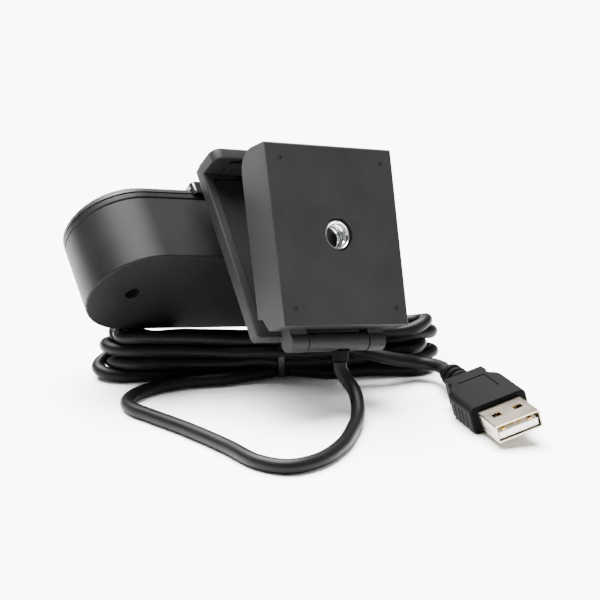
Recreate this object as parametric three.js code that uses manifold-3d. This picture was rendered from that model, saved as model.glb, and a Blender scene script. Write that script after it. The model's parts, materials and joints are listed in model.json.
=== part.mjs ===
// Webcam with a folding two-jaw clip, a tripod socket in the outer jaw, a tied cord and a USB plug.
// Units are millimetres and +Z is up. It lies on its back on its own tied cord, with the table at z = 0.
// Clip frame: origin on the hinge axis, X along the hinge, Y out through the front jaw, Z to the lip.
// Head frame: X along the body, Y towards the lens, Z towards the clip; origin in the back face.
import * as THREE from "three";
import { mergeVertices } from "three/addons/utils/BufferGeometryUtils.js";
import Module from "manifold-3d";

const wasm = await Module();
wasm.setup();

const GAP = 0.3; // between pieces that meet
const RAD = Math.PI / 180;

// Placement of the clip on the table
const HINGE_AT = [16.85, -26.9, 18.4];
const CLIP_TURN = [-43.5, 8.6, 34.2]; // pitch, roll and yaw in degrees, applied yaw first
const JAW_ANGLE = 20.7; // between the two jaws as stored

// Front jaw: the plate that carries the camera head
const PLATE_HALF = 19.85;
const PLATE_IN = 4.2; // inner face, from the hinge axis
const PLATE_OUT = 7.6; // outer face
const PLATE_LOW = 4.1;
const PLATE_TOP = 57.5;
const RIM = 2.4;
const TRAY_DEPTH = 1.8;
const LIP_THICK = 3.4;
const LIP_END = -3.0;
const SCREW_SEAT = 6.9; // where the neck screws' heads seat, from the hinge axis
const KNUCKLE_R = 2.4;
const MIDDLE_HALF = 9.4;

// Rear jaw: the block with the tripod socket
const BLOCK_HALF_TOP = 20.05;
const BLOCK_HALF_LOW = 19.4;
const FACE_Y = -6.8;
const BACK_Y = 4.8;
const BLOCK_LOW = 3.25;
const BLOCK_TOP = 49.95;
const OUTER_R = 2.5;
const OUTER_IN = 9.75;
const OUTER_OUT = 14.8;
const SOCKET_Z = 26.6;
const SOCKET_R = 4.0;
const INSERT_R = 3.95;
const THREAD_R = 2.65; // minor radius of the quarter-inch camera thread
const PIN_R = 1.1;

// Camera head
const HEAD_AT = [0, 28.4, 31.4]; // centre of the back face in the clip frame
const HEAD_TILT = 6; // lens raised from the clip's own direction
const HEAD_STRAIGHT = 32.5; // half the straight part of the outline
const HEAD_R = 16.3;
const SHELL_DEPTH = 19.5;
const WALL = 2;
const BEZEL_R = 16.3;
const BEZEL_TO = 21.6;
const PANEL_R = 16.2;
const PANEL_TO = 24.3;
const SURROUND_HALF = 18;
const SURROUND_Z = 17.7;
const TILT_AXIS = [12, 10.5]; // y and z in the head frame
const SCREW_X = 36.2;

// Cord, tie and plug
const CORD_R = 1.8;
const PLUG_AT = [48.3, -14.0, 5.35];
const PLUG_YAW = -72.8;
const PLUG_ROLL = 15.8;

const group = new THREE.Group();
group.name = "webcam";

/** A geometry as a manifold solid. */
function solid(geometry) {
  const plain = geometry.clone();
  plain.deleteAttribute("normal");
  plain.deleteAttribute("uv");
  const merged = mergeVertices(plain, 1e-4);
  const mesh = new wasm.Mesh({
    numProp: 3,
    vertProperties: new Float32Array(merged.attributes.position.array),
    triVerts: new Uint32Array(merged.index.array),
  });
  return new wasm.Manifold(mesh);
}

/** A manifold solid as a geometry. */
function geometryOf(manifold) {
  const mesh = manifold.getMesh();
  const out = new THREE.BufferGeometry();
  out.setAttribute("position", new THREE.BufferAttribute(mesh.vertProperties, 3));
  out.setIndex(new THREE.BufferAttribute(mesh.triVerts, 1));
  const flat = out.toNonIndexed();
  flat.computeVertexNormals();
  return flat;
}

const cut = (base, ...tools) => geometryOf(tools.reduce((a, t) => a.subtract(solid(t)), solid(base)));
const join = (...parts) => geometryOf(parts.slice(1).reduce((a, t) => a.add(solid(t)), solid(parts[0])));
const common = (a, b) => geometryOf(solid(a).intersect(solid(b)));

/** A box from its low and high corners. */
function box(x0, x1, y0, y1, z0, z1) {
  const made = new THREE.BoxGeometry(x1 - x0, y1 - y0, z1 - z0);
  return made.translate((x0 + x1) / 2, (y0 + y1) / 2, (z0 + z1) / 2);
}

/** A cylinder along X, Y or Z between two stations, its axis at the two other coordinates. */
function rod(axis, radius, from, to, a = 0, b = 0, sides = 32, radiusTo = radius) {
  const made = new THREE.CylinderGeometry(radiusTo, radius, to - from, sides);
  made.translate(0, (from + to) / 2, 0);
  if (axis === "x") made.rotateZ(-Math.PI / 2).translate(0, a, b);
  if (axis === "y") made.translate(a, 0, b);
  if (axis === "z") made.rotateX(Math.PI / 2).translate(a, b, 0);
  return made;
}

/** An outline of rounded ends joined by straight sides, centred, along X. */
function pill(half, radius, steps = 16) {
  const shape = new THREE.Shape();
  for (let i = 0; i <= steps; i += 1) {
    const a = -Math.PI / 2 + (Math.PI * i) / steps;
    const p = [half + radius * Math.cos(a), radius * Math.sin(a)];
    if (i === 0) shape.moveTo(...p);
    else shape.lineTo(...p);
  }
  for (let i = 0; i <= steps; i += 1) {
    const a = Math.PI / 2 + (Math.PI * i) / steps;
    shape.lineTo(-half + radius * Math.cos(a), radius * Math.sin(a));
  }
  return shape;
}

/** A rectangle with rounded corners, centred. */
function roundRect(halfX, halfY, radius, steps = 5) {
  const shape = new THREE.Shape();
  const corners = [[1, -1, -90], [1, 1, 0], [-1, 1, 90], [-1, -1, 180]];
  corners.forEach(([sx, sy, from], n) => {
    for (let i = 0; i <= steps; i += 1) {
      const a = (from + (90 * i) / steps) * RAD;
      const x = sx * (halfX - radius) + radius * Math.cos(a);
      const y = sy * (halfY - radius) + radius * Math.sin(a);
      if (n === 0 && i === 0) shape.moveTo(x, y);
      else shape.lineTo(x, y);
    }
  });
  return shape;
}

/** A closed polygon as a shape. */
function polygon(points) {
  const shape = new THREE.Shape();
  points.forEach((p, i) => (i ? shape.lineTo(...p) : shape.moveTo(...p)));
  return shape;
}

/** A shape pushed along Z from one station to another, with an optional bevel inside that length. */
function slab(shape, from, to, bevel = 0, steps = 2) {
  const made = new THREE.ExtrudeGeometry(shape, {
    depth: to - from - 2 * bevel,
    bevelEnabled: bevel > 0,
    bevelThickness: bevel,
    bevelSize: bevel,
    bevelOffset: -bevel,
    bevelSegments: steps,
    curveSegments: 8,
  });
  return made.translate(0, 0, from + bevel);
}

/** The same along Y: the shape's x stays X and its y becomes Z. */
const slabY = (shape, from, to, bevel = 0, steps = 2) =>
  slab(shape, -to, -from, bevel, steps).rotateX(Math.PI / 2);

/** The same along X: the shape's x becomes Y and its y becomes Z. */
const slabX = (shape, from, to, bevel = 0, steps = 2) =>
  slab(shape, from, to, bevel, steps).rotateX(Math.PI / 2).rotateZ(Math.PI / 2);

/** A round tube along a smooth line through the given points. */
function tube(points, radius, steps, sides = 8) {
  const path = new THREE.CatmullRomCurve3(points.map((p) => new THREE.Vector3(...p)), false, "centripetal");
  const section = [];
  for (let i = 0; i < sides; i += 1) {
    const a = (2 * Math.PI * i) / sides;
    section.push([radius * Math.cos(a), radius * Math.sin(a)]);
  }
  return new THREE.ExtrudeGeometry(polygon(section), { steps, extrudePath: path, bevelEnabled: false });
}

/** Add a named piece to a group. */
function piece(name, geometry, color, parent, metalness = 0, roughness = 0.6) {
  const material = new THREE.MeshStandardMaterial({ color, metalness, roughness });
  const mesh = new THREE.Mesh(geometry, material);
  mesh.name = name;
  parent.add(mesh);
  return mesh;
}

const SATIN = "#3f403f";
const DARK = "#1e1f1f";
const RUBBER = "#161616";
const GLOSS = "#0b0b0c";
const STEEL = "#b9bbbd";
const NICKEL = "#d8d4cc";

// ---------------------------------------------------------------- clip, front jaw (root)
const clip = new THREE.Group();
clip.name = "clip";
clip.position.set(...HINGE_AT);
clip.rotation.set(CLIP_TURN[0] * RAD, CLIP_TURN[1] * RAD, CLIP_TURN[2] * RAD, "ZYX");
group.add(clip);

const EXIT_X = 2.0; // where the cord leaves the hinge
const EXIT_LEAN = 35; // from straight down the jaw towards its outer side

/** A cylinder from the hinge outwards along the cord's exit. */
function exitRod(radius, from, to, sides = 24, radiusTo = radius) {
  return rod("z", radius, from, to, 0, 0, sides, radiusTo)
    .rotateX(Math.PI + EXIT_LEAN * RAD)
    .translate(EXIT_X, 0, 0);
}

function frontJaw() {
  const midZ = (PLATE_LOW + PLATE_TOP) / 2;
  const plateShape = roundRect(PLATE_HALF, (PLATE_TOP - PLATE_LOW) / 2, 1.2, 4);
  const plate = slabY(plateShape, PLATE_IN, PLATE_OUT, 0.5).translate(0, 0, midZ);
  const lipMid = (LIP_END + PLATE_OUT) / 2;
  const lipShape = roundRect(PLATE_HALF, (PLATE_OUT - LIP_END) / 2, 2.6, 5);
  const lip = slab(lipShape, PLATE_TOP - LIP_THICK, PLATE_TOP, 0.5).translate(0, lipMid, 0);
  const lipRoot = box(-PLATE_HALF + 0.5, PLATE_HALF - 0.5, PLATE_IN + 0.3, PLATE_OUT - 0.5, 50, PLATE_TOP - 0.5);
  const tongue = box(-MIDDLE_HALF, MIDDLE_HALF, PLATE_IN, PLATE_OUT - 0.8, 1.2, 8);
  const web = box(-MIDDLE_HALF, MIDDLE_HALF, 0, PLATE_IN + 0.4, -0.4, KNUCKLE_R);
  const knuckle = rod("x", KNUCKLE_R, -MIDDLE_HALF, MIDDLE_HALF);
  const trayTop = PLATE_TOP - LIP_THICK - 1;
  const tray = slabY(
    roundRect(PLATE_HALF - RIM, (trayTop - 8) / 2, 1.5, 4),
    PLATE_IN - 1,
    PLATE_IN + TRAY_DEPTH,
  ).translate(0, 0, (trayTop + 8) / 2);
  const whole = join(plate, lip, lipRoot, tongue, web, knuckle);
  const pin = rod("x", PIN_R + GAP, -12, 12, 0, 0, 20);
  const gland = exitRod(2.2 + GAP, 1.7, 9);
  const neckHoles = [-4.5, 4.5].map((dz) => rod("y", 1.3, PLATE_IN, PLATE_OUT + 1, 0, NECK_Z + dz, 16));
  const seats = [-4.5, 4.5].map((dz) => rod("y", 2.2, PLATE_IN, SCREW_SEAT, 0, NECK_Z + dz, 20));
  return cut(whole, tray, pin, gland, ...neckHoles, ...seats);
}

const NECK_Y = HEAD_AT[1] + TILT_AXIS[0] * Math.sin(HEAD_TILT * RAD) - TILT_AXIS[1] * Math.cos(HEAD_TILT * RAD);
const NECK_Z = HEAD_AT[2] + TILT_AXIS[0] * Math.cos(HEAD_TILT * RAD) + TILT_AXIS[1] * Math.sin(HEAD_TILT * RAD);

piece("front_jaw", frontJaw(), SATIN, clip);

const padTop = PLATE_TOP - LIP_THICK - 1 - GAP;
const padShape = roundRect(PLATE_HALF - RIM - GAP, (padTop - 8 - GAP) / 2, 1.3, 4);
const padBody = slabY(padShape, PLATE_IN + 0.3, PLATE_IN + TRAY_DEPTH - GAP).translate(0, 0, (padTop + 8 + GAP) / 2);
piece("front_jaw_pad", padBody, RUBBER, clip, 0, 0.95);

const lipPad = slab(roundRect(15, 2.4, 1, 3), PLATE_TOP - LIP_THICK - 0.3 - 0.9, PLATE_TOP - LIP_THICK - 0.3)
  .translate(0, 0.4, 0);
piece("lip_pad", lipPad, RUBBER, clip, 0, 0.95);

// Neck: a round foot on the jaw, a stem, and a barrel round the tilt pin
const NECK_HALF = 6;
const FOOT_TOP = PLATE_OUT + GAP + 2;
const foot = rod("y", 7.5, PLATE_OUT + GAP, FOOT_TOP, 0, NECK_Z, 32);
const stem = box(-NECK_HALF, NECK_HALF, FOOT_TOP - 1, NECK_Y, NECK_Z - 3, NECK_Z + 3);
const barrel = rod("x", 4, -NECK_HALF, NECK_HALF, NECK_Y, NECK_Z, 28);
const neckBores = [-4.5, 4.5].map((dz) => rod("y", 1.3, PLATE_OUT, PLATE_OUT + 1.9, 0, NECK_Z + dz, 16));
const pinBore = rod("x", 1.5 + GAP, -8, 8, NECK_Y, NECK_Z, 20);
piece("neck", cut(join(foot, stem, barrel), pinBore, ...neckBores), SATIN, clip);
piece("tilt_pin", rod("x", 1.5, -10.4, 10.4, NECK_Y, NECK_Z, 24), STEEL, clip, 1, 0.35);

["low", "high"].forEach((side, i) => {
  const z = NECK_Z + (i ? 4.5 : -4.5);
  const shank = rod("y", 1.0, SCREW_SEAT - 0.2, PLATE_OUT + 1.6, 0, z, 16);
  const cap = rod("y", 1.9, SCREW_SEAT - 0.8, SCREW_SEAT - 0.1, 0, z, 20);
  piece(`neck_screw_${side}`, join(cap, shank), STEEL, clip, 1, 0.4);
});

["left", "right"].forEach((side, i) => {
  const from = i ? NECK_HALF + 0.25 : -NECK_HALF - 1.0;
  const washer = cut(
    rod("x", 3.4, from, from + 0.75, NECK_Y, NECK_Z, 24),
    rod("x", 1.5 + GAP, from - 1, from + 2, NECK_Y, NECK_Z, 20),
  );
  piece(`friction_washer_${side}`, washer, STEEL, clip, 1, 0.5);
});

piece("hinge_pin", rod("x", PIN_R, -14.2, 14.2, 0, 0, 20), STEEL, clip, 1, 0.35);
piece("cable_gland", cut(exitRod(2.2, 2.1, 4.9), exitRod(1.2, 1, 2.9)), RUBBER, clip, 0, 0.8);

// ---------------------------------------------------------------- clip, rear jaw (turns on the hinge pin)
const jaw = new THREE.Group();
jaw.name = "rear_jaw_group";
jaw.rotation.x = JAW_ANGLE * RAD;
clip.add(jaw);

const topRound = [];
for (let i = 0; i <= 5; i += 1) {
  const a = (90 * i) / 5;
  topRound.push([BACK_Y - 5.4 + 5.4 * Math.cos(a * RAD), BLOCK_TOP - 5.6 + 5.6 * Math.sin(a * RAD)]);
}
const sideProfile = [
  [FACE_Y, BLOCK_LOW],
  [FACE_Y + 0.4, BLOCK_LOW - 0.2],
  [0.4, BLOCK_LOW - 0.2],
  [2.8, 6.2],
  [BACK_Y, 6.7],
  ...topRound,
  [FACE_Y + 0.5, BLOCK_TOP],
  [FACE_Y, BLOCK_TOP - 0.5],
];

function rearJaw() {
  const block = slabX(polygon(sideProfile), -21, 21);
  const outline = polygon([
    [-BLOCK_HALF_LOW, -3],
    [BLOCK_HALF_LOW, -3],
    [BLOCK_HALF_TOP, BLOCK_TOP + 1],
    [-BLOCK_HALF_TOP, BLOCK_TOP + 1],
  ]);
  const body = common(block, slabY(outline, -12, 12));
  const parts = [body];
  for (const s of [-1, 1]) {
    const x0 = Math.min(s * OUTER_IN, s * OUTER_OUT);
    const x1 = Math.max(s * OUTER_IN, s * OUTER_OUT);
    parts.push(rod("x", OUTER_R, x0, x1));
    parts.push(box(x0, x1, -1.7, 2.0, 0, 4));
  }
  const nub = rod("x", 1.6, BLOCK_HALF_TOP - 1, BLOCK_HALF_TOP + 1.0, -2.6, 17.2, 20);
  parts.push(nub);
  const cavity = box(-17.6, 17.6, FACE_Y + 2.2, BACK_Y + 2, 9, 42.5);
  const socketBoss = rod("y", 6, FACE_Y + 1, 2.0, 0, SOCKET_Z, 32);
  const coverSeats = [-1, 1].map((s) => rod("y", 2.4, FACE_Y + 1, 2.0, s * 14.6, 12, 20));
  const shell = cut(join(...parts), cavity);
  const rimSeat = box(-18.4, 18.4, BACK_Y - 1.7, BACK_Y + 2, 8.2, 43.3);
  const socket = rod("y", SOCKET_R + GAP, FACE_Y - 1, 1.0, 0, SOCKET_Z, 32);
  const bores = [-1, 1].map((s) => rod("y", 1.3, -3.5, 4, s * 14.6, 12, 14));
  const marks = [];
  for (const x of [-15.9, 15.9]) {
    for (const dz of [-19.2, 19.2]) {
      marks.push(rod("y", 0.7, FACE_Y - 1, FACE_Y + 0.25, x, SOCKET_Z + dz, 12));
    }
  }
  const pin = rod("x", PIN_R + 0.06, -14.5, 14.5, 0, 0, 20);
  return cut(join(shell, socketBoss, ...coverSeats), rimSeat, socket, pin, ...bores, ...marks);
}
piece("rear_jaw", rearJaw(), SATIN, jaw);

function threadedInsert() {
  const outer = rod("y", INSERT_R, FACE_Y + 0.7, 0.6, 0, SOCKET_Z, 32);
  const tools = [rod("y", THREAD_R, FACE_Y - 1, -0.4, 0, SOCKET_Z, 32)];
  for (let i = 0; i < 4; i += 1) {
    const at = FACE_Y + 0.55 + 1.27 * i;
    tools.push(rod("y", THREAD_R + 0.65, at, at + 0.62, 0, SOCKET_Z, 32, THREAD_R - 0.1));
  }
  return cut(outer, ...tools);
}
piece("tripod_insert", threadedInsert(), STEEL, jaw, 1, 0.3);

const coverShape = roundRect(18.1, (43.0 - 8.5) / 2, 0.8, 3);
const cover = slabY(coverShape, BACK_Y - 1.4, BACK_Y - 0.1).translate(0, 0, (43.0 + 8.5) / 2);
const coverHoles = [-1, 1].map((s) => rod("y", 1.3, 2, 6, s * 14.6, 12, 14));
const padSeat = slabY(roundRect(16, 12, 1, 3), BACK_Y - 0.7, BACK_Y + 1).translate(0, 0, 29);
piece("rear_jaw_cover", cut(cover, ...coverHoles, padSeat), SATIN, jaw);
const rearPad = slabY(roundRect(15.7, 11.7, 0.9, 3), BACK_Y - 0.4, BACK_Y + 0.6).translate(0, 0, 29);
piece("rear_jaw_pad", rearPad, RUBBER, jaw, 0, 0.95);
["left", "right"].forEach((side, i) => {
  const x = (i ? 1 : -1) * 14.6;
  const shank = rod("y", 1.0, -2.9, BACK_Y - 0.4, x, 12, 14);
  const head = rod("y", 1.9, BACK_Y + 0.05, BACK_Y + 0.9, x, 12, 20);
  const neck = rod("y", 1.0, 3, BACK_Y + 0.4, x, 12, 14);
  piece(`cover_screw_${side}`, join(shank, neck, head), STEEL, jaw, 1, 0.4);
});

// ---------------------------------------------------------------- camera head (tilts on the neck)
const head = new THREE.Group();
head.name = "head";
head.position.set(...HEAD_AT);
head.rotation.x = (90 - HEAD_TILT) * RAD;
clip.add(head);
const [TY, TZ] = TILT_AXIS;

function rearShell() {
  const outer = common(
    slabY(pill(HEAD_STRAIGHT, HEAD_R, 18), 0, SHELL_DEPTH + 3, 0.5, 2),
    box(-60, 60, -1, SHELL_DEPTH, -20, 20),
  );
  const cavity = slabY(pill(HEAD_STRAIGHT, HEAD_R - WALL, 18), WALL, SHELL_DEPTH + 3);
  const hollow = cut(outer, cavity);
  const extras = [];
  for (const s of [-1, 1]) {
    extras.push(rod("y", 3.6, 1, 9.8, s * SCREW_X, 0, 24));
    const x0 = s > 0 ? 7.4 : -10.0;
    extras.push(box(x0, x0 + 2.6, TY - 3.6, TY + 3.6, TZ - 3.6, 15));
  }
  const bores = [];
  for (const s of [-1, 1]) {
    bores.push(rod("y", 2.15, -1, 8, s * SCREW_X, 0, 24));
    bores.push(rod("y", 1.3, 7, 12, s * SCREW_X, 0, 20));
  }
  const pin = rod("x", 1.5 + 0.08, -10.6, 10.6, TY, TZ, 24);
  const slot = box(-7.1, 7.1, 7.6, 17.8, 10, 20);
  return cut(join(hollow, ...extras), ...bores, pin, slot);
}
piece("rear_shell", rearShell(), DARK, head, 0, 0.45);

function frontBezel() {
  const ring = slabY(pill(HEAD_STRAIGHT, BEZEL_R, 18), SHELL_DEPTH + GAP, BEZEL_TO, 0.3, 1);
  const opening = slabY(pill(HEAD_STRAIGHT, HEAD_R - 2.4, 18), SHELL_DEPTH - 1, BEZEL_TO + 1);
  const parts = [cut(ring, opening)];
  for (const s of [-1, 1]) {
    parts.push(rod("y", 3.0, 10.2, SHELL_DEPTH + 1.4, s * SCREW_X, 0, 24));
    const x0 = s > 0 ? SCREW_X + 1.5 : -SCREW_X - 11.5;
    parts.push(box(x0, x0 + 10, SHELL_DEPTH + GAP, SHELL_DEPTH + 1.4, -1.5, 1.5));
  }
  const bores = [-1, 1].map((s) => rod("y", 1.3, 9, 14.5, s * SCREW_X, 0, 16));
  return cut(join(...parts), ...bores);
}
piece("front_bezel", frontBezel(), DARK, head, 0, 0.5);

function frontPanel() {
  const base = slabY(pill(HEAD_STRAIGHT, PANEL_R, 18), BEZEL_TO + GAP - 1.5, PANEL_TO, 1.5, 1);
  const flush = box(-60, 60, BEZEL_TO + GAP, PANEL_TO + 1, -20, 20);
  const seat = box(-SURROUND_HALF - GAP, SURROUND_HALF + GAP, 22.9, 30, -20, 20);
  const lens = rod("y", 6.2, 20, 30, 0, 0, 32);
  const mics = [-1, 1].map((s) => rod("y", 0.9, 20, 30, s * 26, 0, 14));
  const led = rod("y", 1.3, 20, 30, 30.5, 0, 18);
  return cut(common(base, flush), seat, lens, ...mics, led);
}
piece("front_panel", frontPanel(), "#2b2c2c", head, 0, 0.35);

function lensSurround() {
  const shape = roundRect(SURROUND_HALF, SURROUND_Z, 1.2, 4);
  const bar = slabY(shape, 21.1, 25.1, 0.4, 2);
  const inside = box(-30, 30, 18, 23.2, -BEZEL_R - GAP, BEZEL_R + GAP);
  const channel = box(-17, 17, 24.0, 27, -7, 7);
  const aperture = rod("y", 4.6, 20, 30, 0, 0, 32);
  return cut(bar, inside, channel, aperture);
}
piece("lens_surround", lensSurround(), GLOSS, head, 0, 0.12);

const barrelTurned = cut(rod("y", 5.4, 9.9, 22.8, 0, 0, 32), rod("y", 4.2, 19.5, 24, 0, 0, 32));
piece("lens_barrel", barrelTurned, DARK, head, 0, 0.5);
const dome = [[0, 0], [3.9, 0], [3.9, 1.0]];
for (let i = 1; i <= 5; i += 1) dome.push([3.9 * Math.cos(i * 18 * RAD), 1.0 + 0.9 * Math.sin(i * 18 * RAD)]);
dome[dome.length - 1][0] = 0;
const glass = new THREE.LatheGeometry(dome.map((p) => new THREE.Vector2(...p)), 32).translate(0, 19.8, 0);
piece("lens_glass", glass, "#1b2430", head, 0, 0.05);
piece("lens_holder", cut(box(-7, 7, 7.9, 12, -7, 6.2), rod("y", 5.7, 9.6, 14, 0, 0, 32),
  box(-4, 4, 7, 9.2, -4, 4), rod("y", 2.6, 6, 14, 0, 0, 24)), DARK, head, 0, 0.7);
piece("ir_filter", box(-2.2, 2.2, 8.6, 8.9, -2.2, 2.2), "#7b2f45", head, 0, 0.1);
piece("image_sensor", box(-3.2, 3.2, 7.4, 8.3, -3.2, 3.2), "#2e3a34", head, 0.2, 0.3);
const board = cut(box(-29, 29, 5.8, 7.1, -12.4, 5.6), rod("y", 1.2, 4, 9, -26.4, -9.8, 14),
  rod("y", 1.2, 4, 9, 26.4, -9.8, 14));
piece("main_board", board, "#1f5a34", head, 0, 0.6);
["left", "right"].forEach((side, i) => {
  const s = i ? 1 : -1;
  piece(`microphone_${side}`, rod("y", 2.0, 19.0, 21.6, s * 26, 0, 20), STEEL, head, 1, 0.4);
  const screw = join(
    rod("y", 2.0, 6.0, 7.7, s * SCREW_X, 0, 20),
    rod("y", 1.0, 7.0, 13.6, s * SCREW_X, 0, 16),
  );
  piece(`case_screw_${side}`, screw, "#2a2a2a", head, 1, 0.4);
});
piece("status_light", rod("y", 1.0, 20.2, 24.1, 30.5, 0, 18), "#cfd8e6", head, 0, 0.2);

// Privacy shutter: a thin slide in the surround's channel, stored open
const SHUTTER_X = 10.6;
const slide = join(
  slabY(roundRect(6, 6.7, 0.6, 3), 24.3, 25.0).translate(SHUTTER_X, 0, 0),
  box(SHUTTER_X + 2.4, SHUTTER_X + 3.4, 24.8, 25.6, -3.2, 3.2),
);
piece("privacy_shutter", slide, "#141415", head, 0, 0.3);

// ---------------------------------------------------------------- cord
const loopPath = [
  [18.28, -26.87, 12.95], [18.4, -27.25, 11.2], [20.0, -28.2, 8.6], [21.9, -30.2, 6.2], [22.6, -33.6, 4.0],
  [22.4, -38.6, 2.3], [21.2, -45, 1.82], [17.9, -57, 1.82], [12.2, -66.6, 1.82], [5.4, -70.4, 1.82],
  [-1.4, -67.6, 1.82], [-9.7, -57.1, 1.82], [-19.6, -45.9, 1.82], [-30, -35.8, 1.82], [-34.9, -30.9, 1.82],
  [-36.8, -26.3, 1.82], [-35.6, -20.8, 1.82], [-31, -14.8, 1.82], [-22.4, -9.6, 2.3], [-12.1, -8.5, 3.6],
  [-3, -9.3, 4.9], [0.5, -9.3, 5.2],
];
piece("cord_front_loop", tube(loopPath, CORD_R, 76), "#1b1b1b", group, 0, 0.6);

const HANK_PLAN = [
  [-49.8, 2.5], [-46.5, -4.2], [-38, -6.2], [-25, -5.9], [-12, -5.9], [-1, -6.4], [6, -7.0], [14, -7.3],
  [26, -7.2], [33, -2.8], [38.5, 0.6], [43.5, 2.6], [47.8, 6.2], [48.6, 11.5], [44.5, 15], [36, 13.6],
  [24, 9.8], [10, 7.2], [0, 6.6], [-12, 7], [-26, 7.8], [-38, 9.0], [-46, 8.2],
];
const HANK_SIDE = [
  [-49.8, 5.4], [-48.5, 1.2], [-45.5, 0], [44.5, 0], [47.8, 1.6], [48.8, 6], [47, 12.5], [42.5, 16.2],
  [37, 15.4], [32, 11.4], [26, 10.8], [-43, 10.8], [-48, 9.4],
];
const TIE = [1.9, 4.1];

function hank() {
  const curve = new THREE.SplineCurve([...HANK_PLAN, HANK_PLAN[0]].map((p) => new THREE.Vector2(...p)));
  const plan = slab(polygon(curve.getPoints(92).slice(0, -1).map((p) => [p.x, p.y])), 0, 20);
  const side = slabY(polygon(HANK_SIDE), -25, 25);
  const groove = cut(box(TIE[0], TIE[1], -20, 20, -5, 20), box(TIE[0] - 1, TIE[1] + 1, -5.6, 5.4, 1.9, 9.4));
  return cut(common(plan, side), groove);
}
piece("cord_hank", hank(), "#1b1b1b", group, 0, 0.6);

const tieX = [TIE[0] + GAP, TIE[1] - GAP];
const tieBand = slabX(roundRect(6.3, 4.9, 1.4, 4), ...tieX).translate(0, -0.1, 5.5);
const tieHole = slabX(roundRect(6.0, 4.3, 1.2, 4), tieX[0] - 1, tieX[1] + 1).translate(0, -0.1, 5.6);
piece("cable_tie", cut(tieBand, tieHole), "#101010", group, 0, 0.7);

const tailPath = [
  [33.4, -5.6, 6.9], [37.2, -3.6, 6.0], [41.0, -2.4, 5.0], [44.7, -3.6, 4.9], [46.9, -7.8, 5.1],
  [48.18, -13.6, 5.34],
];
piece("cord_tail", tube(tailPath, CORD_R, 16), "#1b1b1b", group, 0, 0.6);

// ---------------------------------------------------------------- plug (frame: X towards the mouth)
const plug = new THREE.Group();
plug.name = "plug";
plug.position.set(...PLUG_AT);
plug.rotation.set(PLUG_ROLL * RAD, 0, PLUG_YAW * RAD, "ZYX");
group.add(plug);

const bootProfile = [[0, 0]];
const RIBS = 3;
for (let i = 0; i < RIBS; i += 1) {
  const r = 3.1 + 0.1 * i;
  bootProfile.push([r, i * 2.9], [r, i * 2.9 + 2.0], [r - 0.6, i * 2.9 + 2.05], [r - 0.6, i * 2.9 + 2.85]);
}
bootProfile.push([2.9, 8.75], [2.9, 8.9], [0, 8.9]);
const boot = new THREE.LatheGeometry(bootProfile.map((p) => new THREE.Vector2(...p)), 20)
  .rotateZ(-Math.PI / 2);
piece("plug_boot", boot, "#161616", plug, 0, 0.7);

const OVER = [9.2, 30.8];
const overOutline = [[OVER[0], 5.3], [OVER[0] + 3.2, 5.5], [OVER[0] + 4.2, 4.9], [OVER[0] + 5.4, 5.2], [OVER[0] + 8.6, 7.8], [OVER[1], 7.8]];
const overPlan = slab(polygon([...overOutline.map(([x, y]) => [x, -y]), ...overOutline.reverse()]), -6, 6);
const overBase = common(slabX(roundRect(7.8, 3.75, 1.7, 4), OVER[0], OVER[1], 0.5, 2), overPlan);
const recess = slab(roundRect(4.9, 3.9, 0.9, 3), 3.45, 6).translate((OVER[0] + OVER[1]) / 2 - 0.6, 0, 0);
piece("plug_overmold", cut(overBase, recess), "#171717", plug, 0, 0.55);

const SHELL = [31.1, 41.6];
const shellOuter = slabX(roundRect(6.0, 2.25, 0.5, 3), ...SHELL);
const shellHole = slabX(roundRect(5.65, 1.9, 0.25, 3), SHELL[0] + 0.5, SHELL[1] + 1);
const windows = [];
for (const y of [-2.9, 2.9]) {
  windows.push(box(34.4, 36.9, y - 1.15, y + 1.15, 1.5, 4));
  windows.push(box(34.4, 36.9, y - 1.15, y + 1.15, -4, -1.5));
}
piece("usb_shell", cut(shellOuter, shellHole, ...windows), NICKEL, plug, 1, 0.28);
piece("usb_tongue", box(SHELL[0] + 0.8, SHELL[1] - 0.6, -5.3, 5.3, -1.6, 0.2), "#ececea", plug, 0, 0.4);
[-3.5, -1, 1, 3.5].forEach((y, i) => {
  const long = i === 0 || i === 3 ? 0.9 : 1.9;
  const bar = box(SHELL[0] + 1.6, SHELL[1] - long, y - 0.5, y + 0.5, 0.45, 0.65);
  piece(`usb_contact_${i + 1}`, bar, "#d9a441", plug, 1, 0.25);
});

export default group;
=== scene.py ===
"""A webcam with a folding two-jaw clip, lying on its own tied cord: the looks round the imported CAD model.

Everything is in metres in the row frame. Sub-assemblies keep their own sizes in millimetres in the
frames of the clip, the rear jaw, the head and the plug, and a matrix takes each into the row frame.
"""

import json
import logging
import math
from dataclasses import dataclass
from enum import Enum
from typing import Optional, Sequence

import bmesh
import bpy
import numpy as np
from mathutils import Matrix, Vector

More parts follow.
